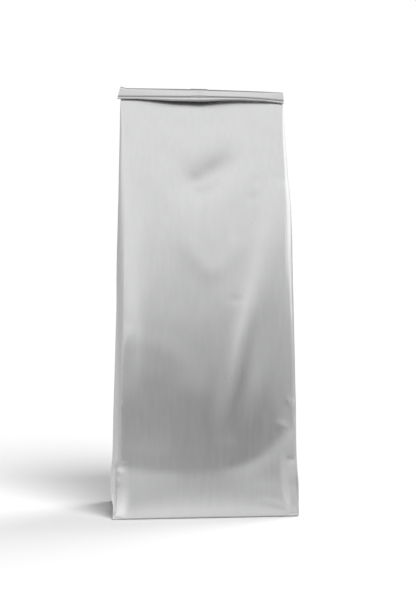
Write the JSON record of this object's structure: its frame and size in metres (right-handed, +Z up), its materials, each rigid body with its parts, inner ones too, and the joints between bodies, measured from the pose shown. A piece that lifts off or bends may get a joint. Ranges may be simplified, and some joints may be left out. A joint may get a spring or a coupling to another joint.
{
  "type": "coffee bag",
  "caption": "Filled side-gusset bag of plain silver foil laminate, standing on its flat block bottom, with the mouth rolled down in front into a narrow bar.",
  "frame": {"origin": "on the floor under the middle of the bag's block bottom", "axes": "+Z up along the bag, front panel and rolled mouth towards -Y, +X to the right as seen from the front, back fin seal towards +Y"},
  "size_m": [0.1362, 0.0876, 0.3143],
  "materials": {
    "foil": "satin"
  },
  "bodies": {
    "root": {"coffee_bag": "foil"}
  },
  "joints": []
}
